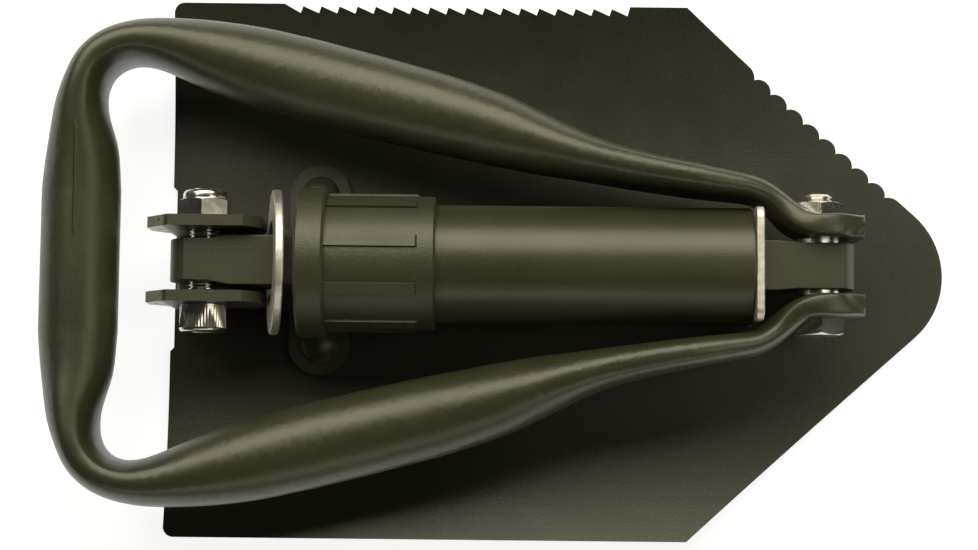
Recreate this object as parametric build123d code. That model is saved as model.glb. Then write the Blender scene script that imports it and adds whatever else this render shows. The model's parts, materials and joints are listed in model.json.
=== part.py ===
"""Folding camp shovel: dished blade with a saw edge, shaft with a screw locking collar, D handle.

Millimetres. +X runs along the folded tool to the blade's point, +Y is the saw side, +Z is up.
The origin is under the middle of the folded tool, level with the underside of the blade.
Both hinges turn about Y at the height of the shaft's axis. The shovel is drawn folded, with its
collar slack and the lock washer leaning on the core bar.
"""
from build123d import *
from math import asin, atan2, cos, hypot, pi, radians, sin
import os

os.makedirs("parts", exist_ok=True)

# Main places
axis_z = 26.0            # height of the shaft's axis and of both hinge axes
blade_hinge_x = -81.5
handle_hinge_x = 87.5

# Blade
sheet = 2.0
blade_half_width = 76.0
blade_rear_x = -93.85
shoulder_x = 53.0        # where the straight sides turn in towards the point
tip_x = 126.75
tip_radius = 23.5
dish_rise = 7.0          # how far the side edges stand above the flat middle
flat_half = 31.0         # half-width of the flat middle
heel_recess = 1.1        # shallow step in the rear edge
heel_half = 22.5
blade_corner_radius = 3.0
trim_margin = 5.0        # extra sheet left round the outline before it is cut
saw_teeth = 18
saw_pitch = 5.2
saw_first_tip_x = -57.0
saw_lead_in = 4.6        # slope from the side line down to the first tooth
saw_tip_drop = 0.6       # tips stand this far inside the side line
saw_gullet_drop = 2.5
saw_steep_run = 0.7      # length of a tooth's steep flank
lobes = 8
lobe_pitch = 6.3
lobe_depth = 1.75
first_notch = 28.0       # distance of the first notch down the slanted edge

# Bracket, riveted to the blade
bracket_sheet = 2.5
ear_gap = 17.5
ear_sheet = 3.0
ear_front = 16.5         # flat that the lock washer bears on
ear_rear = 15.2          # the ears' nose
ear_height = 13.0
ear_sweep = 17.6         # largest radius of the ears, inside the leaning washer
ear_back = [             # from the blade hinge: top, nose and foot of the ears
    (-8.5, ear_height), (-ear_rear, 4.5), (-ear_rear, -4.0), (-10.5, -10.0), (-10.5, -24.0), (11.5, -24.0),
    (12.5, -18.0),
]
base_rear = 10.5         # the base starts under the ears' foot
base_edge_radius = 1.8   # bend between the ears and the base
foot_x = 30.2            # the foot and its rivets, from the blade hinge
foot_radius = 8.6
rivet_y = 21.4
rivet_shank = 3.0
rivet_head_radius = 5.4
rivet_head_height = 3.0
rivet_tail_radius = 4.6  # countersunk under the blade
rivet_tail_depth = 1.4

# Hinge bolts and nuts, M8
bolt_radius = 4.0
bolt_end_chamfer = 0.7
running_gap = 0.05       # radial clearance of a running fit
nut_across_flats = 13.0
socket_head_radius = 6.4
socket_head_length = 7.7
socket_across_flats = 6.0
socket_depth = 4.0
socket_screw_end = 8.3   # shank past the ear
lock_nut_hex_length = 5.4
lock_nut_hex_radius = 7.2
lock_nut_length = 7.9
lock_nut_collar_radius = 6.1
lock_nut_round = 1.1
ring_radius = 5.3        # nylon ring inside the lock nut
ring_start = 5.0
ring_end = 7.2
hex_head_height = 4.6
hex_bolt_end = 6.0       # shank past the lug
thin_nut_height = 3.7
hex_cone_radius = 7.3    # barrel that takes the corners off a hexagon

# Core bar, tube and the collar that locks both hinges
bar_width = 13.6
bar_height = 16.0
front_eye_width = 11.6
rear_eye_width = 12.6
front_eye_end = 9.2      # bar past the blade hinge
rear_eye_end = 10.0      # bar past the handle hinge
front_eye_neck = (2.0, 7.5)     # where the bar narrows to its eyes, from each hinge
rear_eye_neck = (-12.0, -6.0)
bar_gap = 0.2            # clearance of the bar in the holes that slide on it
tube_radius = 16.25
thread_radius = 15.45
tube_bore = 13.25
tube_front = 27.0        # distances from the blade hinge
thread_end = 46.0
tube_rear_x = 68.95
plate_side = 31.0
plate_thickness = 2.15
plate_corner_radius = 3.5
guide_inset = 0.5        # front guide inside the tube's end
guide_length = 12.0
collar_front = 26.1
flange_length = 8.0
flange_radius = 20.7
collar_length = 37.8
collar_mouth = 5.0       # depth of the clearance ahead of the insert
sleeve_radius = 18.5
ribs = 9
rib_first_angle = 36.0
rib_width = 3.2
rib_height = 0.65
rib_length = 25.0
insert_front = 29.0
insert_rear = 45.2
insert_radius = 17.0
washer_radius = 20.0
washer_thickness = 2.5
washer_hole = 11.4
washer_x = 19.5
washer_lean = 9.0

# Handle tube, described from its free lug to the middle of the grip
tube_wall = 1.8
handle_girth = 69.0
lug_inner = 7.7
lug_outer = 14.1
spacer_radius = 5.9      # thin washers between the lugs and the bar's rear eye
spacer_gap = 0.15
seat_radius = 7.9        # flat pressed round the hinge bolt's head and nut
grip_back = 203.25       # middle of the grip, behind the handle hinge
# distance behind the hinge, distance from the middle plane, half thickness in the handle's plane,
# half height (0: found from the tube's girth), squareness of the section, waist of the section
handle_stations = [
    (-11.5, 10.9, 3.25, 9.6, 6.0, 0.0),
    (-7.5, 10.9, 3.25, 12.8, 6.0, 0.0),
    (-2.0, 10.9, 3.25, 14.4, 6.0, 0.0),
    (3.5, 11.3, 3.3, 14.3, 5.0, 0.0),
    (8.0, 13.9, 3.5, 11.5, 3.0, 0.0),
    (12.2, 17.8, 3.7, 10.6, 2.3, 0.03),
    (17.0, 20.7, 3.8, 11.6, 2.3, 0.08),
    (24.0, 22.2, 4.2, 13.2, 2.5, 0.15),
    (35.0, 23.9, 4.9, 0, 2.5, 0.18),
    (50.0, 26.5, 5.6, 0, 2.4, 0.16),
    (62.0, 29.2, 6.5, 0, 2.2, 0.10),
    (75.0, 33.0, 8.2, 0, 2.0, 0.0),
    (88.0, 37.2, 10.0, 0, 2.0, 0.0),
    (104.0, 41.6, 11.1, 0, 2.0, 0.0),
    (122.0, 46.1, 11.5, 0, 2.0, 0.0),
    (141.0, 50.8, 11.6, 0, 2.0, 0.0),
    (156.0, 54.6, 11.1, 0, 2.0, 0.0),
    (168.0, 57.6, 9.6, 0, 2.1, 0.0),
    (178.0, 59.9, 7.6, 0, 2.2, 0.0),
    (187.0, 60.7, 6.0, 0, 2.3, 0.0),
    (194.5, 58.9, 5.5, 0, 2.4, 0.0),
    (200.0, 54.4, 5.5, 0, 2.4, 0.0),
    (202.8, 48.0, 5.9, 0, 2.3, 0.0),
    (203.8, 40.0, 7.6, 0, 2.1, 0.0),
    (grip_back, 31.0, 9.7, 0, 2.0, 0.0),
    (grip_back, 21.0, 10.8, 0, 2.0, 0.0),
    (grip_back, 10.0, 10.8, 0, 2.0, 0.0),
    (grip_back, 0.0, 10.8, 0, 2.0, 0.0),
]
handle_sections = 46
section_points = 20


def save(part, name):
    """Write one sub-part to its own STEP file."""
    export_step(part, f"parts/{name}.step")


def block(x_range, y_range, z_range):
    """Box between the given limits."""
    low = (x_range[0], y_range[0], z_range[0])
    size = (x_range[1] - x_range[0], y_range[1] - y_range[0], z_range[1] - z_range[0])
    return Pos(*low) * Box(*size, align=(Align.MIN, Align.MIN, Align.MIN))


def rod_x(x_start, x_end, radius):
    """Cylinder along the shaft's axis."""
    plane = Plane(origin=(x_start, 0, axis_z), x_dir=(0, 1, 0), z_dir=(1, 0, 0))
    return extrude(plane * Circle(radius), x_end - x_start)


def rod_y(x, y_start, y_end, radius):
    """Cylinder across the tool, on a hinge axis."""
    plane = Plane(origin=(x, y_start, axis_z), x_dir=(1, 0, 0), z_dir=(0, 1, 0))
    return extrude(plane * Circle(radius), y_end - y_start)


def hexagon_y(x, y_start, y_end, across_flats):
    """Hexagonal prism across the tool, with a corner upwards."""
    plane = Plane(origin=(x, y_start, axis_z), x_dir=(1, 0, 0), z_dir=(0, 1, 0))
    corner_radius = across_flats / 2 / cos(pi / 6)
    outline = Rot(0, 0, 30) * RegularPolygon(corner_radius, 6)
    return extrude(plane * outline, y_end - y_start)


def slanted_edge():
    """Corner, unit direction and length of the slanted edge on the saw side."""
    to_centre_x = tip_x - tip_radius - shoulder_x
    to_centre = hypot(to_centre_x, blade_half_width)
    slope = atan2(blade_half_width, to_centre_x) - asin(tip_radius / to_centre)
    length = (to_centre**2 - tip_radius**2) ** 0.5
    return Vector(shoulder_x, blade_half_width), Vector(cos(slope), -sin(slope)), length


def saw_outline():
    """Points of the saw, from its rear end to the wall that ends it."""
    tip_y = blade_half_width - saw_tip_drop
    gullet_y = blade_half_width - saw_gullet_drop
    points = [(saw_first_tip_x - saw_steep_run - saw_lead_in, blade_half_width)]
    for tooth in range(saw_teeth):
        x = saw_first_tip_x + tooth * saw_pitch
        points += [(x - saw_steep_run, gullet_y), (x, tip_y)]
    last_gullet_x = x + saw_pitch - saw_steep_run
    return points + [(last_gullet_x, gullet_y), (last_gullet_x + saw_steep_run, blade_half_width)]


def blade_outline():
    """Flat outline of the blade."""
    corner, along, length = slanted_edge()
    inward = Vector(along.Y, -along.X)
    saw = saw_outline()
    heel_x = blade_rear_x + heel_recess
    rear = [
        (shoulder_x, -blade_half_width),
        (blade_rear_x, -blade_half_width),
        (blade_rear_x, -heel_half - heel_recess),
        (heel_x, -heel_half),
        (heel_x, heel_half),
        (blade_rear_x, heel_half + heel_recess),
        (blade_rear_x, blade_half_width),
    ]
    start = first_notch - lobe_pitch / 2
    first = corner + along * start
    edges = Polyline(rear + saw + [(corner.X, corner.Y), (first.X, first.Y)]).edges()
    notches = [
        corner + along * (first_notch + lobe * lobe_pitch) + inward * lobe_depth for lobe in range(lobes + 1)
    ]
    ramp = along * (lobe_pitch / 4) + inward * (lobe_depth / 4)
    edges += ThreePointArc(first, first + ramp, notches[0]).edges()
    for low, high in zip(notches, notches[1:]):
        edges += ThreePointArc(low, (low + high) / 2 - inward * lobe_depth, high).edges()
    last = corner + along * (first_notch + (lobes + 0.5) * lobe_pitch)
    run_out = inward * (lobe_depth / 4) - along * (lobe_pitch / 4)
    edges += ThreePointArc(notches[-1], last + run_out, last).edges()
    tangent = corner + along * length
    mirrored = Vector(tangent.X, -tangent.Y)
    edges += Line(last, tangent).edges()
    edges += ThreePointArc(tangent, (tip_x, 0), mirrored).edges()
    edges += Line(mirrored, (shoulder_x, -blade_half_width)).edges()
    face = make_face(edges)
    square = face.vertices().filter_by(
        lambda v: v.X < blade_rear_x + 0.01 and abs(v.Y) > blade_half_width - 0.01
    )
    return fillet(square, blade_corner_radius)


def dish_profile():
    """Cross-section of the dished sheet: a flat middle and sides that rise in arcs."""
    slope_run = blade_half_width - flat_half
    dish_radius = (slope_run**2 + dish_rise**2) / (2 * dish_rise)
    turn = asin((slope_run + trim_margin) / dish_radius)

    def on_arc(radius, share, side):
        """Point on one side's arc, a share of the way out."""
        out = flat_half + radius * sin(turn * share)
        return Vector(side * out, dish_radius - radius * cos(turn * share))

    edges = []
    for radius in (dish_radius, dish_radius - sheet):
        edges += Line(on_arc(radius, 0, -1), on_arc(radius, 0, 1)).edges()
        for side in (-1, 1):
            edges += ThreePointArc(*[on_arc(radius, share, side) for share in (0, 0.5, 1)]).edges()
    for side in (-1, 1):
        edges += Line(on_arc(dish_radius, 1, side), on_arc(dish_radius - sheet, 1, side)).edges()
    return make_face(edges)


def blade():
    """Dished sheet cut to the outline, with its rivet holes."""
    across = Plane(origin=(blade_rear_x - trim_margin, 0, 0), x_dir=(0, 1, 0), z_dir=(1, 0, 0))
    dished = extrude(across * dish_profile(), tip_x - blade_rear_x + 2 * trim_margin)
    cutter = extrude(Pos(0, 0, -1) * blade_outline(), dish_rise + sheet + trim_margin)
    body = dished & cutter
    for side in (1, -1):
        body -= rivet_body(side)
    return body


def rivet_body(side):
    """One rivet: flush tail under the blade, shank, and a domed head on the bracket's foot."""
    seat = sheet + bracket_sheet
    sphere_radius = (rivet_head_radius**2 + rivet_head_height**2) / (2 * rivet_head_height)
    place = Pos(blade_hinge_x + foot_x, side * rivet_y, 0)
    upright = (Align.CENTER, Align.CENTER, Align.MIN)
    shank = Cylinder(rivet_shank, seat + rivet_head_height / 2, align=upright)
    tail = Cone(rivet_tail_radius, rivet_shank, rivet_tail_depth, align=upright)
    ball = Pos(0, 0, seat + rivet_head_height - sphere_radius) * Sphere(sphere_radius)
    above_foot = Pos(0, 0, seat) * Cylinder(2 * rivet_head_radius, 2 * rivet_head_height, align=upright)
    head = ball & above_foot
    return place * (shank + tail + head)


def ear_outline():
    """Side view of the ears, from the blade hinge: front flat, cam corner, top, nose and undercut."""
    flat_top = (ear_sweep**2 - ear_front**2) ** 0.5
    corner_x = (ear_sweep**2 - ear_height**2) ** 0.5
    middle = (atan2(flat_top, ear_front) + atan2(ear_height, corner_x)) / 2
    corner = ThreePointArc(
        (ear_front, flat_top), (ear_sweep * cos(middle), ear_sweep * sin(middle)), (corner_x, ear_height)
    )
    front_flat = [(ear_front, -flat_top), (ear_front, flat_top)]
    rest = Polyline([(corner_x, ear_height)] + ear_back + front_flat)
    return make_face(corner.edges() + rest.edges())


def blade_bracket():
    """Stamped bracket: two ears on a base with a cross foot, bent from one sheet."""
    outer = ear_gap / 2 + ear_sheet
    side_plane = Plane(origin=(blade_hinge_x, outer, axis_z), x_dir=(1, 0, 0), z_dir=(0, -1, 0))
    ears = extrude(side_plane * ear_outline(), 2 * outer)
    base_top = sheet + bracket_sheet
    gap_length = (blade_hinge_x - foot_x, blade_hinge_x + foot_x)
    gap = block(gap_length, (-ear_gap / 2, ear_gap / 2), (base_top, 2 * axis_z))
    base = block((blade_hinge_x - base_rear, blade_hinge_x + foot_x), (-outer, outer), (sheet, base_top))
    foot_outline = Rot(0, 0, 90) * SlotCenterToCenter(2 * rivet_y, 2 * foot_radius)
    foot = Pos(blade_hinge_x + foot_x, 0, sheet) * extrude(foot_outline, bracket_sheet)
    body = ears - gap + base + foot
    lower_edges = body.edges().filter_by(Axis.X).filter_by(
        lambda e: abs(e.center().Z - sheet) < 0.01 and abs(abs(e.center().Y) - outer) < 0.01
    )
    body = fillet(lower_edges, base_edge_radius)
    body -= rod_y(blade_hinge_x, -outer - 1, outer + 1, bolt_radius + running_gap)
    for side in (1, -1):
        body -= rivet_body(side)
    return body


def blade_hinge_bolt():
    """Socket-head screw across the ears, head on the plain side."""
    seat = ear_gap / 2 + ear_sheet
    top = seat + socket_head_length
    head = rod_y(blade_hinge_x, -top, -seat, socket_head_radius)
    head = chamfer(head.edges().group_by(Axis.Y)[0], 0.6)
    socket = hexagon_y(blade_hinge_x, -top, -top + socket_depth, socket_across_flats)
    shank = rod_y(blade_hinge_x, -seat, seat + socket_screw_end, bolt_radius)
    shank = chamfer(shank.edges().group_by(Axis.Y)[-1], bolt_end_chamfer)
    return head + shank - socket


def nut_ring():
    """Space for the nylon ring in the blade hinge's lock nut."""
    seat = ear_gap / 2 + ear_sheet
    return rod_y(blade_hinge_x, seat + ring_start, seat + ring_end, ring_radius)


def blade_hinge_nut():
    """Lock nut: hexagon with a rounded collar that holds the nylon ring."""
    seat = ear_gap / 2 + ear_sheet
    shoulder = seat + lock_nut_hex_length
    end = seat + lock_nut_length
    hexagon = hexagon_y(blade_hinge_x, seat, shoulder, nut_across_flats)
    hexagon &= rod_y(blade_hinge_x, seat, shoulder, lock_nut_hex_radius)
    collar = rod_y(blade_hinge_x, shoulder, end, lock_nut_collar_radius)
    collar = fillet(collar.edges().group_by(Axis.Y)[-1], lock_nut_round)
    return hexagon + collar - rod_y(blade_hinge_x, seat, end, bolt_radius) - nut_ring()


def blade_hinge_nut_insert():
    """Nylon ring of the lock nut."""
    return nut_ring() - rod_y(blade_hinge_x, 0, axis_z, bolt_radius)


def core_bar():
    """Bar through the tube, with a hinge eye at each end and slightly thinner eyes."""
    front = blade_hinge_x - front_eye_end
    rear = handle_hinge_x + rear_eye_end
    half = bar_width / 2
    half_front = front_eye_width / 2
    half_rear = rear_eye_width / 2
    narrow_front, wide_front = [blade_hinge_x + x for x in front_eye_neck]
    wide_rear, narrow_rear = [handle_hinge_x + x for x in rear_eye_neck]
    side = [
        (front, half_front), (narrow_front, half_front), (wide_front, half),
        (wide_rear, half), (narrow_rear, half_rear), (rear, half_rear),
    ]
    plan = Polyline(side + [(x, -y) for x, y in reversed(side)] + [side[0]])
    bar = extrude(Pos(0, 0, axis_z - bar_height / 2) * make_face(plan.edges()), bar_height)
    full_height = (0, 2 * axis_z)
    front_round = block((front, blade_hinge_x), (-half, half), full_height)
    front_round -= rod_y(blade_hinge_x, -half, half, front_eye_end)
    rear_round = block((handle_hinge_x, rear), (-half, half), full_height)
    rear_round -= rod_y(handle_hinge_x, -half, half, rear_eye_end)
    bar = bar - front_round - rear_round
    for hinge_x in (blade_hinge_x, handle_hinge_x):
        bar -= rod_y(hinge_x, -half, half, bolt_radius + running_gap)
    return bar


def bar_hole(x_start, x_end):
    """Rectangular hole that slides on the core bar."""
    half_y = bar_width / 2 + bar_gap
    half_z = bar_height / 2 + bar_gap
    return block((x_start, x_end), (-half_y, half_y), (axis_z - half_z, axis_z + half_z))


def shaft_tube():
    """Outer tube, stepped down at its front for the collar's thread."""
    front = blade_hinge_x + tube_front
    step = blade_hinge_x + thread_end
    tube = rod_x(front, step, thread_radius) + rod_x(step, tube_rear_x, tube_radius)
    tube = chamfer(tube.edges().group_by(Axis.X)[-1], 0.4)
    return tube - rod_x(front, tube_rear_x, tube_bore)


def guide(x_start, x_end):
    """Bush inside the tube that slides on the core bar."""
    return rod_x(x_start, x_end, tube_bore) - bar_hole(x_start, x_end)


def end_plate():
    """Square plate on the tube's rear end, which presses on the handle's lugs."""
    half = plate_side / 2
    rear = tube_rear_x + plate_thickness
    plate = block((tube_rear_x, rear), (-half, half), (axis_z - half, axis_z + half))
    plate = fillet(plate.edges().filter_by(Axis.X), plate_corner_radius)
    plate = fillet(plate.edges().group_by(Axis.X)[-1], 0.5)
    return plate - bar_hole(tube_rear_x, rear)


def locking_collar():
    """Collar with a smooth flange, a ribbed sleeve and a plain rear rim."""
    front = blade_hinge_x + collar_front
    rear = front + collar_length
    sleeve_front = front + flange_length
    flange = rod_x(front, sleeve_front, flange_radius)
    flange = chamfer(flange.edges().filter_by(GeomType.CIRCLE), 0.7)
    sleeve = rod_x(sleeve_front, rear, sleeve_radius)
    sleeve = chamfer(sleeve.edges().group_by(Axis.X)[-1], 0.5)
    body = flange + sleeve
    for i in range(ribs):
        body += collar_rib(sleeve_front, rib_first_angle + i * 360 / ribs)
    body -= rod_x(front, front + collar_mouth, thread_radius + collar_mouth / 10)
    body -= rod_x(blade_hinge_x + insert_front, blade_hinge_x + insert_rear, insert_radius + running_gap)
    return body - rod_x(blade_hinge_x + insert_rear, rear, tube_radius + running_gap)


def collar_rib(start_x, angle):
    """Straight grip rib on the sleeve, with its far end bevelled."""
    top = sleeve_radius + rib_height
    plane = Plane(origin=(start_x, 0, axis_z), x_dir=(0, 1, 0), z_dir=(1, 0, 0))
    end_view = Pos(top - rib_height, 0) * Rectangle(2 * rib_height, rib_width)
    rib = extrude(plane * (Rot(0, 0, angle) * end_view), rib_length)
    centre_y = cos(radians(angle)) * top
    centre_z = axis_z + sin(radians(angle)) * top
    far_edge = rib.edges().sort_by_distance((start_x + rib_length, centre_y, centre_z))[0]
    return chamfer(far_edge, rib_height * 0.8)


def collar_insert():
    """Threaded sleeve held in the collar, running on the tube's thread."""
    front = blade_hinge_x + insert_front + running_gap
    rear = blade_hinge_x + insert_rear - running_gap
    sleeve = rod_x(front, rear, insert_radius)
    return sleeve - rod_x(front, rear, thread_radius + running_gap)


def lock_washer():
    """Loose plain washer on the core bar, leaning back against the slack."""
    plane = Plane(
        origin=(blade_hinge_x + washer_x, 0, axis_z),
        x_dir=(0, 1, 0),
        z_dir=(cos(radians(washer_lean)), 0, -sin(radians(washer_lean))),
    )
    washer = extrude(plane * Circle(washer_radius), washer_thickness / 2, both=True)
    washer = fillet(washer.edges().filter_by(GeomType.CIRCLE), 0.7)
    return washer - extrude(plane * Circle(washer_hole), washer_thickness, both=True)


def tube_section(place, direction, size, shrink):
    """Closed smooth outline of the handle tube at one place, set across its run."""
    half_width, half_height, squareness, waist = size
    plane = Plane(origin=place, x_dir=(direction.Y, -direction.X, 0), z_dir=direction)
    points = []
    marks = [point / section_points for point in range(section_points + 1)]
    for mark in marks[:-1]:
        turn = 2 * pi * mark
        across = abs(cos(turn)) ** (2 / squareness) * (1 if cos(turn) > 0 else -1)
        upright = abs(sin(turn)) ** (2 / squareness) * (1 if sin(turn) > 0 else -1)
        across *= 1 - waist * cos(turn) ** 4
        local = Vector((half_width - shrink) * across, (half_height - shrink) * upright)
        points.append(plane.from_local_coords(local))
    return Wire([Edge.make_spline(points, periodic=True, parameters=marks)])


def station_sizes():
    """Half width, half height, squareness and waist at every station."""
    sizes = []
    for _, _, half_width, half_height, squareness, waist in handle_stations:
        if not half_height:
            half_height = (handle_girth - (2 * pi - 4) * half_width) / 4
        sizes.append((half_width, half_height, squareness, waist))
    return sizes


def handle_half(shrink):
    """Solid of one half of the handle tube, or of its hollow when shrunk by the wall."""
    centres = [Vector(handle_hinge_x - back, out, axis_z) for back, out, *_ in handle_stations]
    run = Spline(*centres, tangents=[(-1, 0, 0), (0, -1, 0)]).edge()
    marks = [run.param_at_point(centre) for centre in centres]
    sizes = station_sizes()
    sections = []
    for section in range(handle_sections):
        along = section / (handle_sections - 1)
        station = sum(mark <= along + 1e-9 for mark in marks[1:-1])
        share = (along - marks[station]) / (marks[station + 1] - marks[station])
        size = [low + (high - low) * share for low, high in zip(sizes[station], sizes[station + 1])]
        sections.append(tube_section(run.position_at(along), run.tangent_at(along), size, shrink))
    return Part(Solid.make_loft(sections).wrapped)


def handle_frame():
    """D handle: one bent tube whose ends are pressed flat into lugs and drilled."""
    half = handle_half(0) - handle_half(tube_wall)
    reach = blade_half_width
    half &= block((-2 * reach, 2 * reach), (0, reach), (-reach, reach))
    lug_run = (handle_hinge_x - 4, handle_hinge_x + 20)
    half -= block(lug_run, (lug_outer, reach), (0, 2 * axis_z))
    half -= block(lug_run, (0, lug_inner), (0, 2 * axis_z))
    half -= rod_y(handle_hinge_x, lug_outer, reach, seat_radius)
    frame = half + mirror(half, about=Plane.XZ)
    return frame - rod_y(handle_hinge_x, -reach, reach, bolt_radius + running_gap)


def handle_hinge_bolt():
    """Hex-head bolt through the lugs and the core bar's rear eye."""
    top = lug_outer + hex_head_height
    barrel = rod_y(handle_hinge_x, -top, -lug_outer, hex_cone_radius)
    barrel = chamfer(barrel.edges().group_by(Axis.Y)[0], 0.8)
    head = hexagon_y(handle_hinge_x, -top, -lug_outer, nut_across_flats) & barrel
    shank = rod_y(handle_hinge_x, -lug_outer, lug_outer + hex_bolt_end, bolt_radius)
    return head + chamfer(shank.edges().group_by(Axis.Y)[-1], bolt_end_chamfer)


def handle_hinge_nut():
    """Thin hex nut on the saw side."""
    top = lug_outer + thin_nut_height
    barrel = rod_y(handle_hinge_x, lug_outer, top, hex_cone_radius)
    barrel = chamfer(barrel.edges().group_by(Axis.Y)[-1], 0.6)
    nut = hexagon_y(handle_hinge_x, lug_outer, top, nut_across_flats) & barrel
    return nut - rod_y(handle_hinge_x, lug_outer, top, bolt_radius)


def handle_spacer(side):
    """Thin washer between a lug and the core bar's eye."""
    ends = sorted((side * (rear_eye_width / 2 + spacer_gap), side * lug_inner))
    ring = rod_y(handle_hinge_x, *ends, spacer_radius)
    return ring - rod_y(handle_hinge_x, *ends, bolt_radius + running_gap)


def build():
    """Make every sub-part and write it."""
    front_guide_x = blade_hinge_x + tube_front + guide_inset
    parts = {
        "blade": blade(),
        "blade_bracket": blade_bracket(),
        "saw_side_rivet": rivet_body(1),
        "plain_side_rivet": rivet_body(-1),
        "blade_hinge_bolt": blade_hinge_bolt(),
        "blade_hinge_nut": blade_hinge_nut(),
        "blade_hinge_nut_insert": blade_hinge_nut_insert(),
        "core_bar": core_bar(),
        "shaft_tube": shaft_tube(),
        "front_guide": guide(front_guide_x, front_guide_x + guide_length),
        "rear_guide": guide(tube_rear_x - guide_length, tube_rear_x),
        "end_plate": end_plate(),
        "locking_collar": locking_collar(),
        "collar_insert": collar_insert(),
        "lock_washer": lock_washer(),
        "handle_frame": handle_frame(),
        "handle_hinge_bolt": handle_hinge_bolt(),
        "handle_hinge_nut": handle_hinge_nut(),
        "saw_side_spacer": handle_spacer(1),
        "plain_side_spacer": handle_spacer(-1),
    }
    for name, part in parts.items():
        save(part, name)


build()
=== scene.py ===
import json
from math import atan2, cos, hypot, pi, radians, sin

import bpy
from bpy.props import FloatProperty, FloatVectorProperty, IntProperty, PointerProperty
from bpy.types import Operator, Panel, PropertyGroup
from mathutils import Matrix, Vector


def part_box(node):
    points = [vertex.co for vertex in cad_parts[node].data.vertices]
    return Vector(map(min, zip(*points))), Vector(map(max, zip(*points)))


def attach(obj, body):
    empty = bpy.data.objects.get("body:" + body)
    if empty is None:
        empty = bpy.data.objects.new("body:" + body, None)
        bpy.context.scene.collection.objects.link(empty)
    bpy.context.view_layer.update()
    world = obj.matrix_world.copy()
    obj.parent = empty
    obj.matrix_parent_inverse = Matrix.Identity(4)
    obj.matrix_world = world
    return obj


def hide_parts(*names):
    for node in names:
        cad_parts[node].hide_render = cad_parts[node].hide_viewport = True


bl_info = {
    "name": "Folding camp shovel",
    "version": (1, 0, 0),
    "blender": (4, 5, 0),
    "location": "View3D > Sidebar > Shovel",
    "description": "Finishes the pieces of a folding camp shovel round its packed frame",
    "category": "Object",
}

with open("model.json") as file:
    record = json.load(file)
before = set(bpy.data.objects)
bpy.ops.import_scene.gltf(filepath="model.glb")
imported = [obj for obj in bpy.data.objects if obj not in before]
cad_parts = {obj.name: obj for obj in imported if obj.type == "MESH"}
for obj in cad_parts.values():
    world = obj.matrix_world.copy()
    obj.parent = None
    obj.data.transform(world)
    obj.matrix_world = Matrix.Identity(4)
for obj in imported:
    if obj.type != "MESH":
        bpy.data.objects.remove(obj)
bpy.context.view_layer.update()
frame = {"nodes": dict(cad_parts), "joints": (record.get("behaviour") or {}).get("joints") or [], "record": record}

NODE_BODY = {node: body for body, nodes in frame["record"]["behaviour"]["bodies"].items() for node in nodes}
NODE_SLOT = {part["node"]: part["material_slot"] for part in frame["record"]["subparts"]}
HINGE = {joint["name"]: Vector(joint["pos_m"]) for joint in frame["joints"] if joint["type"] == "hinge"}
BLADE_HINGE = HINGE["blade_fold"]
HANDLE_HINGE = HINGE["handle_fold"]
MM = 0.001

# How every piece is merged, rounded and shaded
MERGE = 0.002 * MM
EDGE_ANGLE = radians(28)
BROAD_FACE_WEIGHT = 90

# Blade: a flat middle and two sides that curve up
BLADE_HALF_WIDTH = 76 * MM
DISH_FLAT = 31 * MM
DISH_RISE = 7 * MM
SHEET = 2 * MM
STRIP = 2 * MM
CHORD_ERROR = 0.07 * MM  # how far a chord may lie inside the arc

# Grip: the oval of the handle's tube, behind the blade hinge
GRIP_CENTRE_X = -115.75 * MM
GRIP_HALF_WIDTH = 10.8 * MM
GRIP_HALF_HEIGHT = 11.085 * MM
GRIP_STRAIGHT = 20 * MM
TUBE_WALL = 1.8 * MM
OVAL_ERROR = 0.05  # share of the radius by which a point may miss the oval

# Fasteners, M8
BOLT_RADIUS = 4 * MM
TIP_CHAMFER = 0.8 * MM
THREAD_END = 0.2 * MM
THREAD_STEPS = (0.38, 0.55, 0.93)  # start and end of the crest and start of the root, in pitches
EAR_FACE = 11.75 * MM
SCREW_SHANK_END = -9.0 * MM
SCREW_THREAD_START = -8.9 * MM
BOLT_SHANK_END = 10.0 * MM
BOLT_THREAD_START = 10.2 * MM
SOCKET_HEAD_RADIUS = 6.4 * MM
SOCKET_ACROSS_FLATS = 6 * MM
SOCKET_DEPTH = 4 * MM
KNURL_START = 1.15 * MM
KNURL_END = 0.5 * MM
KNURL_RATIO = 0.965
KNURL_INSIDE = 5 * MM  # nothing nearer to the axis is pressed
# Roundings: distance from the end along the axis, and drop from the full radius
SOCKET_HEAD_ROUNDING = ((0, 0.9 * MM), (0.12 * MM, 0.45 * MM), (0.5 * MM, 0.12 * MM), (1.0 * MM, 0))
SOCKET_SEAT_ROUNDING = ((0.3 * MM, 0.1 * MM), (0, 0.35 * MM))
NUT_ACROSS_FLATS = 13 * MM
NUT_CORNER = NUT_ACROSS_FLATS / 2 / cos(pi / 6)
CONE_DROP = 0.1 * MM
CONE_SLOPE = 0.55
LOCK_NUT_FLATS = 5.4 * MM
LOCK_COLLAR_RADIUS = 6.1 * MM
LOCK_COLLAR_FOOT = ((-0.4 * MM, 0.2 * MM), (0.25 * MM, 0))
LOCK_COLLAR_DOME = ((1.2 * MM, 0), (0.6 * MM, 0.22 * MM), (0.2 * MM, 0.62 * MM), (0, 1.2 * MM))
RING_CHAMFER = (0.25 * MM, 0.4 * MM)
HEX_HEAD = 4.6 * MM
HEAD_OVERLAP = 0.5 * MM
OVERCUT = 1 * MM
HAIR = 0.01 * MM  # clearance that keeps two faces from coinciding
NUT_CREASE = 25.0
SCREW_CREASE = 35.0
SIDES = 48
FINE_SIDES = 96

# Finishes
CHIP_COLOUR = (0.11, 0.105, 0.07)
PAINT_GLOSS = (1.0, 0.97, 0.84)
WHITE = (1.0, 1.0, 1.0)
WORN_NOSE = (4.0 * MM, 6.2 * MM)
SEAM_FROM_BACK = 11.2 * MM
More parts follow.
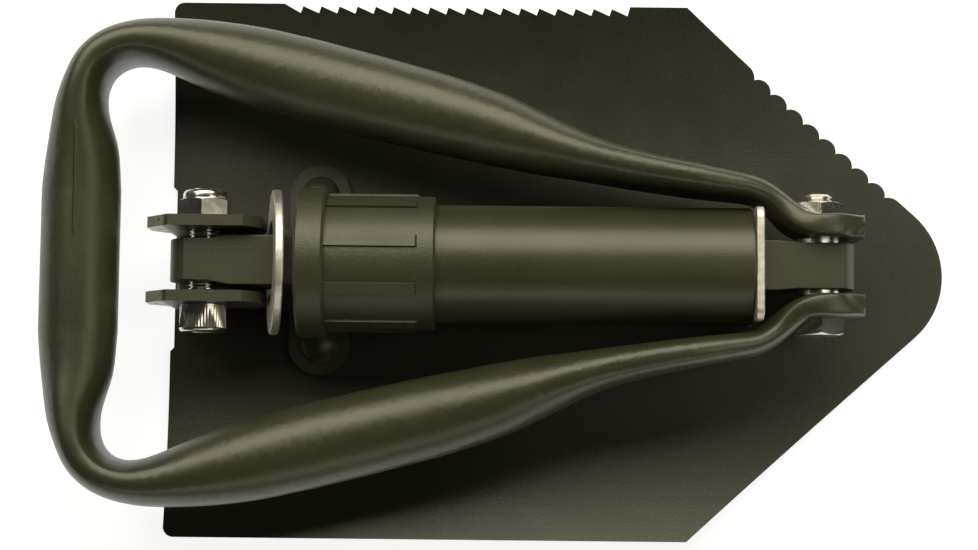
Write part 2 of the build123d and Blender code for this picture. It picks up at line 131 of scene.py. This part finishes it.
# Where each fades: nearest and furthest
SEAM_WIDTH = (0.1 * MM, 0.6 * MM)
SEAM_START = (6 * MM, 8 * MM)
SEAM_END = (34 * MM, 38 * MM)
SEAM_HEIGHT = (6 * MM, 8 * MM)
SEAM_DEPTH = 0.25 * MM

# Stage
LIGHT_TINT = (1.0, 0.975, 0.82)
LIGHTS = (  # name, place, target, size, energy
    ("key", (-0.06, 0.43, 0.48), (0, 0, 0.02), (1.1, 0.46), 7.0),
    ("fill", (0.05, -0.68, 0.36), (0, 0, 0.02), (1.1, 0.22), 1.2),
    ("point", (0.40, -0.06, 0.46), (0.12, 0, 0), (0.25, 0.4), 0.65),
)
ROOM_LIGHT = 0.02
FLOOR_SIZE = 6.0
FLOOR_GLOW = 0.85
CAMERA_DISTANCE = 0.62
CAMERA_CENTRE = (-2.44 * MM, -0.6 * MM)
CAMERA_LEAN = radians(5.0)
CAMERA_ROLL = radians(0.6)
CAMERA_LENS = 79.4
CAMERA_SENSOR = 36.0


# ---------------------------------------------------------------- sizes and colours


def length(name, description, default):
    """A length that a user would change."""
    return FloatProperty(name=name, description=description, default=default, unit="LENGTH", precision=5)


def colour(name, description, default):
    """A colour that a user would change."""
    return FloatVectorProperty(
        name=name, description=description, default=default, subtype="COLOR", size=3, min=0.0, max=1.0,
    )


class ShovelSizes(PropertyGroup):
    """Small sizes of the finished pieces."""

    blade_edge: length("Blade edge", "Rounding of the blade's sheared edges", 0.00035)
    bracket_edge: length("Bracket edge", "Rounding of the bracket's stamped edges", 0.0005)
    cast_edge: length("Cast edge", "Rounding of the collar's ribs and flange", 0.00035)
    machined_edge: length("Machined edge", "Rounding of plates and bars", 0.0004)
    thread_pitch: length("Thread pitch", "Pitch of the hinge bolts' thread", 0.001)
    thread_depth: length("Thread depth", "Depth of the hinge bolts' thread", 0.00055)
    knurls: IntProperty(name="Knurls", description="Grip cuts round the socket screw's head", default=48)


class ShovelColours(PropertyGroup):
    """Colours of the finishes."""

    blade: colour("Blade", "Dark olive of the blade's textured paint", (0.012, 0.0116, 0.0062))
    tube: colour("Tube", "Olive of the handle and the shaft", (0.030, 0.0295, 0.014))
    bracket: colour("Bracket", "Olive of the bracket and the core bar", (0.030, 0.029, 0.015))
    collar: colour("Collar", "Olive of the cast collar", (0.032, 0.031, 0.016))
    zinc: colour("Zinc", "Bright plate of the fasteners", (0.80, 0.76, 0.68))
    steel: colour("Steel", "Bare steel where paint has worn through", (0.56, 0.53, 0.45))
    nylon: colour("Nylon", "Ring and bushes", (0.62, 0.62, 0.58))
    floor: colour("Floor", "Plain pale floor", (0.32, 0.32, 0.32))


# ---------------------------------------------------------------- shaders

# Sockets of a Mix node that mixes colours
MIX_SHARE, MIX_FIRST, MIX_SECOND, MIX_RESULT = 0, 6, 7, 2


class Signal:
    """A value on its way through a material: sums and products of signals add their Math nodes."""

    def __init__(self, finish, socket):
        self.finish = finish
        self.socket = socket

    def maths(self, operation, *values):
        """One Math node on the given values."""
        return self.finish.node("ShaderNodeMath", {"operation": operation}, dict(enumerate(values)))

    def __add__(self, other):
        return self.maths("ADD", self, other)

    def __radd__(self, other):
        return self.maths("ADD", other, self)

    def __sub__(self, other):
        return self.maths("SUBTRACT", self, other)

    def __rsub__(self, other):
        return self.maths("SUBTRACT", other, self)

    def __mul__(self, other):
        return self.maths("MULTIPLY", self, other)

    def __rmul__(self, other):
        return self.maths("MULTIPLY", other, self)

    def size(self):
        """This signal without its sign."""
        return self.maths("ABSOLUTE", self)

    def clipped(self, low, high):
        """This signal spread from 0 at low to 1 at high."""
        values = {"Value": self, "From Min": low, "From Max": high}
        return self.finish.node("ShaderNodeMapRange", {"interpolation_type": "SMOOTHSTEP"}, values)


class Finish:
    """A material being built from nodes."""

    def __init__(self, name):
        self.material = bpy.data.materials.new(f"{name}_finish")
        self.material.use_nodes = True
        self.tree = self.material.node_tree
        self.tree.nodes.clear()
        self.place = self.node("ShaderNodeTexCoord", {}, {}, "Object")

    def node(self, kind, settings, values, output=0):
        """Add one node: its settings first, then the values or links of its sockets."""
        made = self.tree.nodes.new(kind)
        for key, value in settings.items():
            setattr(made, key, value)
        for key, value in values.items():
            socket = made.inputs[key]
            if isinstance(value, Signal):
                self.tree.links.new(value.socket, socket)
            else:
                socket.default_value = value
        return Signal(self, made.outputs[output])

    def stretched(self, scale):
        """The object's coordinates, stretched by a scale along each axis."""
        return self.node("ShaderNodeMapping", {}, {"Vector": self.place, "Scale": scale})

    def noise(self, scale, detail=2.0, roughness=0.5, stretch=None):
        """Soft noise from 0 to 1, in features per metre."""
        vector = self.stretched(stretch) if stretch else self.place
        values = {"Vector": vector, "Scale": scale, "Detail": detail, "Roughness": roughness}
        return self.node("ShaderNodeTexNoise", {}, values, "Fac")

    def spots(self, scale, size):
        """Scattered round spots of the given relative size, 1 inside and 0 outside."""
        values = {"Vector": self.place, "Scale": scale}
        distance = self.node("ShaderNodeTexVoronoi", {}, values, "Distance")
        return 1.0 - distance.clipped(size * 0.6, size)

    def axis(self, index):
        """One object coordinate, in metres."""
        return self.node("ShaderNodeSeparateXYZ", {}, {"Vector": self.place}, index)

    def blend(self, share, first, second):
        """A colour that goes from the first to the second as the share rises."""
        values = {MIX_SHARE: share, MIX_FIRST: rgba(first), MIX_SECOND: rgba(second)}
        return self.node("ShaderNodeMix", {"data_type": "RGBA"}, values, MIX_RESULT)

    def bump(self, height, distance, strength=1.0, under=None):
        """A normal raised by a height signal of the given depth in metres."""
        values = {"Height": height, "Distance": distance, "Strength": strength}
        if under:
            values["Normal"] = under
        return self.node("ShaderNodeBump", {}, values)

    def close(self, **values):
        """Finish with one shader whose sockets take the given values."""
        titles = {key: key.replace("_", " ").title().replace("Ior", "IOR") for key in values}
        sockets = {titles[key]: value for key, value in values.items()}
        shader = self.node("ShaderNodeBsdfPrincipled", {}, sockets)
        output = self.tree.nodes.new("ShaderNodeOutputMaterial")
        self.tree.links.new(shader.socket, output.inputs["Surface"])
        return self.material


def rgba(value):
    """A colour with full alpha, or a signal unchanged."""
    return value if isinstance(value, Signal) else (*value, 1.0)


def shade(value, factor):
    """A colour made darker or lighter."""
    return tuple(min(1.0, channel * factor) for channel in value)


def olive_paint(name, base, roughness, grain, wear=None, seam=None):
    """Sprayed olive paint: mottling, grain, small light chips, and bare metal where it has worn through."""
    finish = Finish(name)
    cloud = finish.noise(28.0, detail=3.0)
    fleck = finish.noise(2200.0, roughness=0.7)
    mottled = finish.blend(cloud.clipped(0.3, 0.7), shade(base, 0.88), shade(base, 1.12))
    flecked = finish.blend(fleck.clipped(0.48, 0.70) * 0.45, mottled, shade(base, 1.6))
    chips = finish.spots(52.0, 0.022) * finish.noise(31.0).clipped(0.50, 0.56)
    dust = finish.spots(300.0, 0.07) * finish.noise(60.0).clipped(0.50, 0.60)
    painted = finish.blend((chips + dust * 0.5).clipped(0.0, 1.0) * 0.8, flecked, CHIP_COLOUR)
    peel = finish.noise(1500.0)
    sand = finish.noise(4200.0, detail=1.0)
    rough = finish.noise(90.0) * 0.12 + fleck * 0.08 + (roughness - 0.10)
    metallic = 0.0
    if wear:
        bare = wear(finish) * finish.noise(420.0, detail=3.0).clipped(0.30, 0.50)
        painted = finish.blend(bare, painted, bpy.context.scene.shovel_colours.steel)
        metallic = bare * 0.8
    normal = finish.bump(peel, 0.04 * MM * grain, 0.6)
    normal = finish.bump(sand - chips * 2.0, 0.03 * MM * grain, 0.8, under=normal)
    if seam:
        normal = finish.bump(seam(finish), SEAM_DEPTH, under=normal)
    return finish.close(
        base_color=painted, roughness=rough, metallic=metallic, normal=normal, specular_ior_level=0.6,
        specular_tint=rgba(PAINT_GLOSS),
    )


def nose_wear(finish):
    """Bare metal on the bracket's nose, where the paint rubs off."""
    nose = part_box("blade_bracket")[0].x
    bare, painted = WORN_NOSE
    return 1.0 - finish.axis(0).clipped(nose + bare, nose + painted)


def grip_seam(finish):
    """Faint weld line along the top of the grip's saw side."""
    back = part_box("handle_frame")[0].x
    across, along, up = (finish.axis(index) for index in range(3))
    line = 1.0 - (across - (back + SEAM_FROM_BACK)).size().clipped(*SEAM_WIDTH)
    stretch = along.clipped(*SEAM_START) * (1.0 - along.clipped(*SEAM_END))
    top = (up - HANDLE_HINGE.z).clipped(*SEAM_HEIGHT)
    return line * stretch * top


def zinc_plate(name, roughness, streaks):
    """Zinc plate with fine marks and slight haze, bright on fasteners, dull on the washer and end plate."""
    base = bpy.context.scene.shovel_colours.zinc
    finish = Finish(name)
    haze = finish.noise(160.0, detail=3.0)
    marks = finish.noise(900.0, detail=3.0, stretch=streaks)
    fog = finish.noise(500.0).clipped(0.35, 0.75)
    tone = finish.blend(fog, shade(base, 0.80), shade(base, 1.05))
    rough = haze * 0.14 + marks * 0.10 + (roughness - 0.10)
    normal = finish.bump(marks, 0.03 * MM, 0.6)
    return finish.close(base_color=tone, roughness=rough, metallic=1.0, normal=normal)


def turned_steel(name):
    """Plain turned steel with lathe marks."""
    base = bpy.context.scene.shovel_colours.steel
    finish = Finish(name)
    marks = finish.noise(60.0, stretch=(60.0, 1.0, 1.0))
    tone = finish.blend(marks, shade(base, 0.85), shade(base, 1.15))
    normal = finish.bump(marks, 0.04 * MM, 0.6)
    return finish.close(base_color=tone, roughness=marks * 0.2 + 0.25, metallic=1.0, normal=normal)


def nylon(name):
    """Natural nylon, milky, with fine mould grain."""
    base = bpy.context.scene.shovel_colours.nylon
    finish = Finish(name)
    cloud = finish.noise(300.0)
    grain = finish.noise(2500.0, detail=1.0)
    tone = finish.blend(cloud, shade(base, 0.92), shade(base, 1.05))
    normal = finish.bump(grain, 0.03 * MM, 0.5)
    return finish.close(base_color=tone, roughness=cloud * 0.1 + 0.35, normal=normal)


class SHOVEL_OT_finishes(Operator):
    """Paints, plating, steel and nylon"""

    bl_idname = "shovel.finishes"
    bl_label = "Finishes"

    def execute(self, context):
        colours = context.scene.shovel_colours
        olive_paint("blade_paint", tuple(colours.blade), 0.38, 1.3)
        olive_paint("bracket_paint", tuple(colours.bracket), 0.44, 1.3, wear=nose_wear)
        olive_paint("tube_paint", tuple(colours.tube), 0.36, 1.0, seam=grip_seam)
        olive_paint("collar_paint", tuple(colours.collar), 0.40, 2.4)
        zinc_plate("zinc", 0.20, (1.0, 0.2, 1.0))
        zinc_plate("dull_zinc", 0.46, (0.3, 1.0, 1.0))
        turned_steel("insert_steel")
        nylon("nylon")
        return {"FINISHED"}


# ---------------------------------------------------------------- modelling helpers


def deselect():
    """Leave edit mode and select nothing."""
    if bpy.context.object and bpy.context.object.mode != "OBJECT":
        bpy.ops.object.mode_set(mode="OBJECT")
    bpy.ops.object.select_all(action="DESELECT")


def pick(piece):
    """Make one object the only selected and active one."""
    deselect()
    piece.select_set(True)
    bpy.context.view_layer.objects.active = piece


def modify(piece, kind, **settings):
    """Add one modifier and apply it."""
    pick(piece)
    modifier = piece.modifiers.new(kind.title(), kind)
    for key, value in settings.items():
        setattr(modifier, key, value)
    bpy.ops.object.modifier_apply(modifier=modifier.name)


def smooth(piece, angle=30.0):
    """Shade smooth, with creases sharper than the angle kept and broad faces left flat."""
    pick(piece)
    bpy.ops.object.shade_smooth_by_angle(angle=radians(angle))
    modify(piece, "WEIGHTED_NORMAL", keep_sharp=True, weight=BROAD_FACE_WEIGHT)


def settle(piece, node, finish=None):
    """Give a piece its name, its finish and its body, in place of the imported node."""
    piece.name = f"{node}_finished"
    piece.data.materials.clear()
    piece.data.materials.append(bpy.data.materials[f"{finish or NODE_SLOT[node]}_finish"])
    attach(piece, NODE_BODY[node])
    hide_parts(node)


def dressed_copy(node, edge=0.0, flatness=0.4):
    """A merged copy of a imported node, its flat faces joined, its edges rounded, smoothly shaded."""
    source = frame["nodes"][node]
    piece = bpy.data.objects.new(f"{node}_copy", source.data.copy())
    bpy.context.scene.collection.objects.link(piece)
    pick(piece)
    bpy.ops.object.mode_set(mode="EDIT")
    bpy.ops.mesh.select_all(action="SELECT")
    bpy.ops.mesh.remove_doubles(threshold=MERGE)
    if flatness:
        bpy.ops.mesh.dissolve_limited(angle_limit=radians(flatness))
    bpy.ops.object.mode_set(mode="OBJECT")
    if edge:
        modify(
            piece, "BEVEL", width=edge, segments=2, limit_method="ANGLE", angle_limit=EDGE_ANGLE,
            use_clamp_overlap=True, miter_outer="MITER_ARC",
        )
    smooth(piece)
    return piece


# ---------------------------------------------------------------- blade and bracket


def cut_strips(piece):
    """Cut the blade along X into narrow strips, so that its curved sides shade evenly."""
    pick(piece)
    bpy.ops.object.mode_set(mode="EDIT")
    for index in range(1, round(2 * BLADE_HALF_WIDTH / STRIP)):
        bpy.ops.mesh.select_all(action="SELECT")
        bpy.ops.mesh.bisect(plane_co=(0, index * STRIP - BLADE_HALF_WIDTH, 0), plane_no=(0, 1, 0))
    bpy.ops.object.mode_set(mode="OBJECT")


def lie_on_dish(piece):
    """Bring the strips' edges from the chords between the cuts out to the dish's true arcs."""
    slope_run = BLADE_HALF_WIDTH - DISH_FLAT
    radius = (slope_run**2 + DISH_RISE**2) / (2 * DISH_RISE)
    for vertex in piece.data.vertices:
        out = abs(vertex.co.y) - DISH_FLAT
        if out <= 0:
            continue
        away = hypot(out, radius - vertex.co.z)
        for face_radius in (radius, radius - SHEET):
            if abs(away - face_radius) < CHORD_ERROR:
                vertex.co.z = radius - (face_radius**2 - out**2) ** 0.5


class SHOVEL_OT_blade(Operator):
    """Dished blade with its sheared edges rounded"""

    bl_idname = "shovel.blade"
    bl_label = "Blade"

    def execute(self, context):
        sizes = context.scene.shovel_sizes
        blade = dressed_copy("blade", sizes.blade_edge)
        cut_strips(blade)
        lie_on_dish(blade)
        smooth(blade)
        settle(blade, "blade")
        return {"FINISHED"}


class SHOVEL_OT_bracket(Operator):
    """Stamped bracket and its two rivets"""

    bl_idname = "shovel.bracket"
    bl_label = "Bracket"

    def execute(self, context):
        sizes = context.scene.shovel_sizes
        settle(dressed_copy("blade_bracket", sizes.bracket_edge), "blade_bracket")
        for node in ("saw_side_rivet", "plain_side_rivet"):
            settle(dressed_copy(node), node)
        return {"FINISHED"}


# ---------------------------------------------------------------- shaft and collar


class SHOVEL_OT_shaft(Operator):
    """Core bar, tube, guides, end plate and washer"""

    bl_idname = "shovel.shaft"
    bl_label = "Shaft"

    def execute(self, context):
        sizes = context.scene.shovel_sizes
        for node in ("core_bar", "shaft_tube"):
            settle(dressed_copy(node, sizes.machined_edge), node)
        settle(dressed_copy("end_plate", sizes.machined_edge), "end_plate", "dull_zinc")
        settle(dressed_copy("lock_washer"), "lock_washer", "dull_zinc")
        for node in ("front_guide", "rear_guide"):
            settle(dressed_copy(node), node)
        return {"FINISHED"}


class SHOVEL_OT_collar(Operator):
    """Ribbed locking collar and its threaded insert"""

    bl_idname = "shovel.collar"
    bl_label = "Collar"

    def execute(self, context):
        sizes = context.scene.shovel_sizes
        settle(dressed_copy("locking_collar", sizes.cast_edge), "locking_collar")
        settle(dressed_copy("collar_insert"), "collar_insert")
        return {"FINISHED"}


# ---------------------------------------------------------------- handle


def true_oval(piece):
    """Bring the straight middle of the grip onto its true oval, past the join between its halves."""
    for vertex in piece.data.vertices:
        out_x = vertex.co.x - GRIP_CENTRE_X
        out_z = vertex.co.z - HANDLE_HINGE.z
        if abs(vertex.co.y) > GRIP_STRAIGHT or out_x > 2 * GRIP_HALF_WIDTH:
            continue
        for wall in (0, TUBE_WALL):
            ratio = hypot(out_x / (GRIP_HALF_WIDTH - wall), out_z / (GRIP_HALF_HEIGHT - wall))
            if abs(ratio - 1) < OVAL_ERROR:
                vertex.co.x = GRIP_CENTRE_X + out_x / ratio
                vertex.co.z = HANDLE_HINGE.z + out_z / ratio


class SHOVEL_OT_handle(Operator):
    """Bent tube handle"""

    bl_idname = "shovel.handle"
    bl_label = "Handle"

    def execute(self, context):
        handle = dressed_copy("handle_frame", flatness=0.0)
        true_oval(handle)
        smooth(handle)
        settle(handle, "handle_frame")
        for node in ("saw_side_spacer", "plain_side_spacer"):
            settle(dressed_copy(node), node)
        return {"FINISHED"}


# ---------------------------------------------------------------- fasteners


def turned(hinge, profile, sides=SIDES):
    """A turned piece on a hinge axis: a disc extruded along Y and resized at each step of its profile."""
    (start, radius), *steps = profile
    deselect()
    place = (hinge.x, start, hinge.z)
    bpy.ops.mesh.primitive_circle_add(
        vertices=sides, radius=radius, fill_type="NGON", location=place, rotation=(pi / 2, 0, 0)
    )
    piece = bpy.context.object
    bpy.ops.object.transform_apply(location=True, rotation=True, scale=True)
    bpy.ops.object.mode_set(mode="EDIT")
    bpy.ops.mesh.select_all(action="SELECT")
    for end, next_radius in steps:
        move = {"value": (0, end - start, 0)}
        bpy.ops.mesh.extrude_region_move(TRANSFORM_OT_translate=move)
        ratio = next_radius / radius
        bpy.ops.transform.resize(value=(ratio, 1, ratio), center_override=(hinge.x, end, hinge.z))
        start, radius = end, next_radius
    close_outwards()
    return piece


def close_outwards():
    """Merge what meets, turn every face outwards and leave edit mode."""
    bpy.ops.mesh.select_all(action="SELECT")
    bpy.ops.mesh.remove_doubles(threshold=MERGE / 2)
    bpy.ops.mesh.normals_make_consistent(inside=False)
    bpy.ops.object.mode_set(mode="OBJECT")


def hexagon(hinge, start, end, across_flats):
    """A hexagonal bar on a hinge axis, with a corner upwards."""
    deselect()
    bpy.ops.mesh.primitive_cylinder_add(
        vertices=6, radius=across_flats / 2 / cos(pi / 6), depth=end - start,
        location=(hinge.x, (start + end) / 2, hinge.z), rotation=(pi / 2, 0, 0),
    )
    piece = bpy.context.object
    bpy.ops.object.transform_apply(location=True, rotation=True, scale=True)
    return piece


def combine(piece, tool, operation):
    """Join, cut or trim a piece with another, which is then deleted."""
    modify(piece, "BOOLEAN", object=tool, operation=operation, solver="EXACT")
    mesh = tool.data
    bpy.data.objects.remove(tool)
    bpy.data.meshes.remove(mesh)


def threaded_end(start, tip):
    """Profile of a bolt's end: a thread between two places on the axis, and a chamfered tip."""
    return thread(start, tip - THREAD_END, BOLT_RADIUS) + [(tip, BOLT_RADIUS - TIP_CHAMFER)]


def thread(start, end, radius):
    """Profile of a thread, cut as rings that count back from its end."""
    sizes = bpy.context.scene.shovel_sizes
    pitch = sizes.thread_pitch
    root = radius - sizes.thread_depth
    profile = []
    for turns_left in range(int((end - start) / pitch), 0, -1):
        place = end - turns_left * pitch
        crest_start, crest_end, root_start = (place + share * pitch for share in THREAD_STEPS)
        profile += [(place, root), (crest_start, radius), (crest_end, radius), (root_start, root)]
    return profile


def knurl(piece, hinge, start, end, knurls):
    """Press every other edge of a head's side inwards, between two places on the axis."""
    pick(piece)
    for part in (*piece.data.edges, *piece.data.polygons):
        part.select = False
    for vertex in piece.data.vertices:
        across = vertex.co - hinge
        turn = atan2(across.x, across.z) / pi * knurls
        inside = start - HAIR < vertex.co.y < end + HAIR
        vertex.select = inside and round(turn) % 2 == 0 and hypot(across.x, across.z) > KNURL_INSIDE
    bpy.ops.object.mode_set(mode="EDIT")
    bpy.ops.mesh.select_mode(type="VERT")
    bpy.ops.transform.resize(value=(KNURL_RATIO, 1, KNURL_RATIO), center_override=(hinge.x, start, hinge.z))
    bpy.ops.object.mode_set(mode="OBJECT")


def socket_screw():
    """Knurled socket-head screw through the ears."""
    knurls = bpy.context.scene.shovel_sizes.knurls
    low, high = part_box("blade_hinge_bolt")
    seat = -EAR_FACE
    knurl_start, knurl_end = low.y + KNURL_START, seat - KNURL_END
    profile = [(low.y + rise, SOCKET_HEAD_RADIUS - drop) for rise, drop in SOCKET_HEAD_ROUNDING]
    profile += [(knurl_start, SOCKET_HEAD_RADIUS), (knurl_end, SOCKET_HEAD_RADIUS)]
    profile += [(seat - rise, SOCKET_HEAD_RADIUS - drop) for rise, drop in SOCKET_SEAT_ROUNDING]
    profile += [(seat, BOLT_RADIUS), (SCREW_SHANK_END, BOLT_RADIUS)]
    screw = turned(BLADE_HINGE, profile + threaded_end(SCREW_THREAD_START, high.y), 2 * knurls)
    knurl(screw, BLADE_HINGE, knurl_start, knurl_end, knurls)
    socket = hexagon(BLADE_HINGE, low.y - OVERCUT, low.y + SOCKET_DEPTH, SOCKET_ACROSS_FLATS)
    combine(screw, socket, "DIFFERENCE")
    smooth(screw, SCREW_CREASE)
    return screw


def chamfered_nut(hinge, start, end, chamfers):
    """A hexagon with its corners taken off by a cone at the chosen ends."""
    nut = hexagon(hinge, start, end, NUT_ACROSS_FLATS)
    small = NUT_ACROSS_FLATS / 2 - CONE_DROP
    slope = (NUT_CORNER - small) * CONE_SLOPE
    before, after = (small if chamfer else NUT_CORNER for chamfer in chamfers)
    wide = NUT_CORNER + HAIR
    profile = [(start, before), (start + slope, wide), (end - slope, wide), (end, after)]
    combine(nut, turned(hinge, profile, FINE_SIDES), "INTERSECT")
    return nut


def bored(piece, hinge, low, high):
    """Drill a piece through for the bolt."""
    profile = [(low.y - OVERCUT, BOLT_RADIUS), (high.y + OVERCUT, BOLT_RADIUS)]
    combine(piece, turned(hinge, profile), "DIFFERENCE")


def lock_nut():
    """Lock nut with a domed collar round its nylon ring."""
    low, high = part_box("blade_hinge_nut")
    ring_low, ring_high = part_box("blade_hinge_nut_insert")
    ring_radius = ring_high.z - BLADE_HINGE.z
    shoulder = low.y + LOCK_NUT_FLATS
    nut = chamfered_nut(BLADE_HINGE, low.y, shoulder, (True, True))
    collar = [(shoulder + rise, LOCK_COLLAR_RADIUS - drop) for rise, drop in LOCK_COLLAR_FOOT]
    collar += [(high.y - rise, LOCK_COLLAR_RADIUS - drop) for rise, drop in LOCK_COLLAR_DOME]
    combine(nut, turned(BLADE_HINGE, collar, FINE_SIDES), "UNION")
    bored(nut, BLADE_HINGE, low, high)
    seat = turned(BLADE_HINGE, [(ring_low.y, ring_radius), (high.y + OVERCUT, ring_radius)])
    combine(nut, seat, "DIFFERENCE")
    smooth(nut, NUT_CREASE)
    return nut


def nylon_ring():
    """Nylon ring pressed into the lock nut, its face chamfered."""
    low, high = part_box("blade_hinge_nut_insert")
    outer = high.z - BLADE_HINGE.z
    rise, drop = RING_CHAMFER
    ring = turned(BLADE_HINGE, [(low.y, outer), (high.y - rise, outer), (high.y, outer - drop)])
    bored(ring, BLADE_HINGE, low, high)
    smooth(ring)
    return ring


def hex_bolt():
    """Hex-head bolt through the handle's lugs."""
    low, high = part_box("handle_hinge_bolt")
    seat = low.y + HEX_HEAD
    bolt = chamfered_nut(HANDLE_HINGE, low.y, seat, (True, False))
    shank = [(seat - HEAD_OVERLAP, BOLT_RADIUS), (BOLT_SHANK_END, BOLT_RADIUS)]
    combine(bolt, turned(HANDLE_HINGE, shank + threaded_end(BOLT_THREAD_START, high.y)), "UNION")
    smooth(bolt, NUT_CREASE)
    return bolt


def thin_nut():
    """Thin nut on the saw side of the handle's hinge."""
    low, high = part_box("handle_hinge_nut")
    nut = chamfered_nut(HANDLE_HINGE, low.y, high.y, (False, True))
    bored(nut, HANDLE_HINGE, low, high)
    smooth(nut, NUT_CREASE)
    return nut


class SHOVEL_OT_fasteners(Operator):
    """Screws and nuts of both hinges"""

    bl_idname = "shovel.fasteners"
    bl_label = "Fasteners"

    def execute(self, context):
        settle(socket_screw(), "blade_hinge_bolt")
        settle(lock_nut(), "blade_hinge_nut")
        settle(nylon_ring(), "blade_hinge_nut_insert")
        settle(hex_bolt(), "handle_hinge_bolt")
        settle(thin_nut(), "handle_hinge_nut")
        return {"FINISHED"}


# ---------------------------------------------------------------- stage


def pale_floor():
    """Plain pale floor that glows a little, so that it stays even and pale."""
    tone = tuple(bpy.context.scene.shovel_colours.floor)
    deselect()
    bpy.ops.mesh.primitive_plane_add(size=FLOOR_SIZE, location=(0, 0, 0))
    floor = bpy.context.object
    floor.name = "floor"
    finish = Finish("floor")
    cloudy = finish.blend(finish.noise(3.0), shade(tone, 0.99), tone)
    glow = {"emission_color": rgba(WHITE), "emission_strength": FLOOR_GLOW}
    floor.data.materials.append(finish.close(base_color=cloudy, roughness=0.9, **glow))


def soft_light(name, place, target, size, energy):
    """A rectangular studio light aimed at a point."""
    data = bpy.data.lights.new(name, "AREA")
    data.shape = "RECTANGLE"
    data.size, data.size_y = size
    data.energy = energy
    data.color = LIGHT_TINT
    light = bpy.data.objects.new(name, data)
    bpy.context.scene.collection.objects.link(light)
    light.location = place
    light.rotation_euler = (Vector(target) - Vector(place)).to_track_quat("-Z", "Y").to_euler()


def room_light():
    """A trace of even white light from all round."""
    world = bpy.data.worlds.new("studio")
    world.use_nodes = True
    background = world.node_tree.nodes["Background"]
    background.inputs["Color"].default_value = rgba(WHITE)
    background.inputs["Strength"].default_value = ROOM_LIGHT
    bpy.context.scene.world = world


def add_camera():
    """Camera nearly straight above the folded tool, leaning a little towards its plain side."""
    data = bpy.data.cameras.new("camera")
    data.sensor_width = CAMERA_SENSOR
    data.lens = CAMERA_LENS
    camera = bpy.data.objects.new("camera", data)
    bpy.context.scene.collection.objects.link(camera)
    centre_x, centre_y = CAMERA_CENTRE
    away, up = CAMERA_DISTANCE * sin(CAMERA_LEAN), CAMERA_DISTANCE * cos(CAMERA_LEAN)
    camera.location = (centre_x, centre_y - away, up)
    camera.rotation_euler = (CAMERA_LEAN, 0.0, CAMERA_ROLL)
    bpy.context.scene.camera = camera


class SHOVEL_OT_stage(Operator):
    """Pale floor, soft studio light and the camera"""

    bl_idname = "shovel.stage"
    bl_label = "Stage"

    def execute(self, context):
        pale_floor()
        for light in LIGHTS:
            soft_light(*light)
        room_light()
        add_camera()
        context.scene.view_settings.view_transform = "Standard"
        return {"FINISHED"}


class SHOVEL_PT_panel(Panel):
    """Steps of the shovel's finishing, in order"""

    bl_label = "Camp shovel"
    bl_idname = "SHOVEL_PT_panel"
    bl_space_type = "VIEW_3D"
    bl_region_type = "UI"
    bl_category = "Shovel"

    def draw(self, context):
        for step in STEPS:
            self.layout.operator(step.bl_idname)


STEPS = (
    SHOVEL_OT_stage,
    SHOVEL_OT_finishes,
    SHOVEL_OT_blade,
    SHOVEL_OT_bracket,
    SHOVEL_OT_shaft,
    SHOVEL_OT_collar,
    SHOVEL_OT_handle,
    SHOVEL_OT_fasteners,
)
CLASSES = (ShovelSizes, ShovelColours, *STEPS, SHOVEL_PT_panel)


def register():
    """Register every class and the scene's settings."""
    for item in CLASSES:
        bpy.utils.register_class(item)
    bpy.types.Scene.shovel_sizes = PointerProperty(type=ShovelSizes)
    bpy.types.Scene.shovel_colours = PointerProperty(type=ShovelColours)


def unregister():
    """Undo register."""
    del bpy.types.Scene.shovel_colours
    del bpy.types.Scene.shovel_sizes
    for item in reversed(CLASSES):
        bpy.utils.unregister_class(item)


def main():
    """Make the stage and every piece."""
    register()
    for step in STEPS:
        group, name = step.bl_idname.split(".")
        getattr(getattr(bpy.ops, group), name)()


if __name__ == "__main__":
    main()
